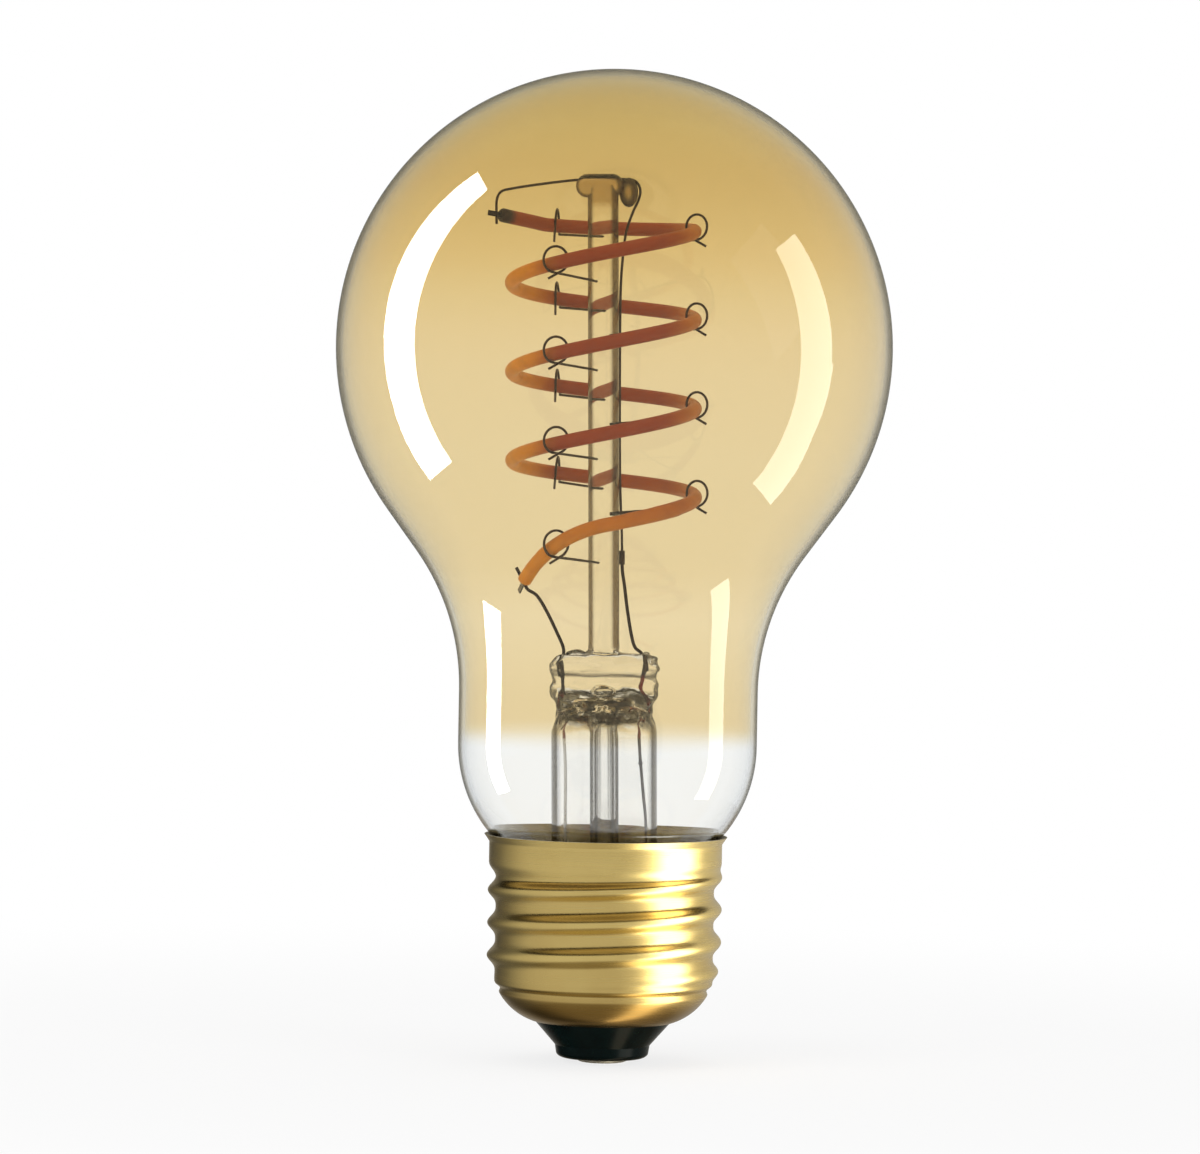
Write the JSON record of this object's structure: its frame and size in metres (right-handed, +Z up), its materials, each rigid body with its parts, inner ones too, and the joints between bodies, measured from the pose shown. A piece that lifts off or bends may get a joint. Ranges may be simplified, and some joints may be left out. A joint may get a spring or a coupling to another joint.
{
  "type": "spiral filament led bulb",
  "caption": "Amber globe bulb with a spiral led filament held by wire hooks on a glass stem, and a screw cap with a driver inside",
  "frame": {"origin": "middle of the flat underside of the centre contact", "axes": "+Z runs up the cap's axis to the top of the globe, -Y faces the viewer and +X is to the viewer's right"},
  "size_m": [0.0618, 0.0618, 0.1102],
  "materials": {
    "amber_glass": "clear blown glass with an amber coat",
    "stem_glass": "clear drawn glass",
    "cap_brass": "satin rolled sheet",
    "insulator_glass": "glossy black",
    "contact_metal": "satin",
    "cement": "matte",
    "board": "matte",
    "chip_plastic": "matte",
    "fuse_ceramic": "matte",
    "capacitor_can": "satin",
    "tinned_wire": "satin",
    "seal_copper": "red oxide coat",
    "hook_wire": "dark drawn wire",
    "filament_coat": "satin silicone with phosphor"
  },
  "bodies": {
    "root": {"glass_bulb": "amber_glass", "cap_shell": "cap_brass", "cap_insulator": "insulator_glass", "centre_contact": "contact_metal", "capping_cement": "cement", "driver_board": "board", "bridge_rectifier": "chip_plastic", "driver_chip": "chip_plastic", "fuse_resistor": "fuse_ceramic", "smoothing_capacitor": "capacitor_can", "live_wire": "tinned_wire", "neutral_wire": "tinned_wire", "exhaust_tube": "stem_glass", "stem_flare": "stem_glass", "centre_rod": "stem_glass", "seal_wire_left": "seal_copper", "seal_wire_right": "seal_copper", "outer_lead_left": "tinned_wire", "outer_lead_right": "tinned_wire", "filament": "filament_coat", "filament_tab_upper": "tinned_wire", "filament_tab_lower": "tinned_wire", "support_hook_01": "hook_wire", "support_hook_02": "hook_wire", "support_hook_03": "hook_wire", "support_hook_04": "hook_wire", "support_hook_05": "hook_wire", "support_hook_06": "hook_wire", "support_hook_07": "hook_wire", "support_hook_08": "hook_wire", "support_hook_09": "hook_wire", "support_hook_10": "hook_wire", "support_hook_11": "hook_wire", "support_hook_12": "hook_wire", "upper_wire": "hook_wire", "inner_lead_left": "tinned_wire", "inner_lead_right": "tinned_wire", "lead_splice": "tinned_wire"}
  },
  "joints": []
}
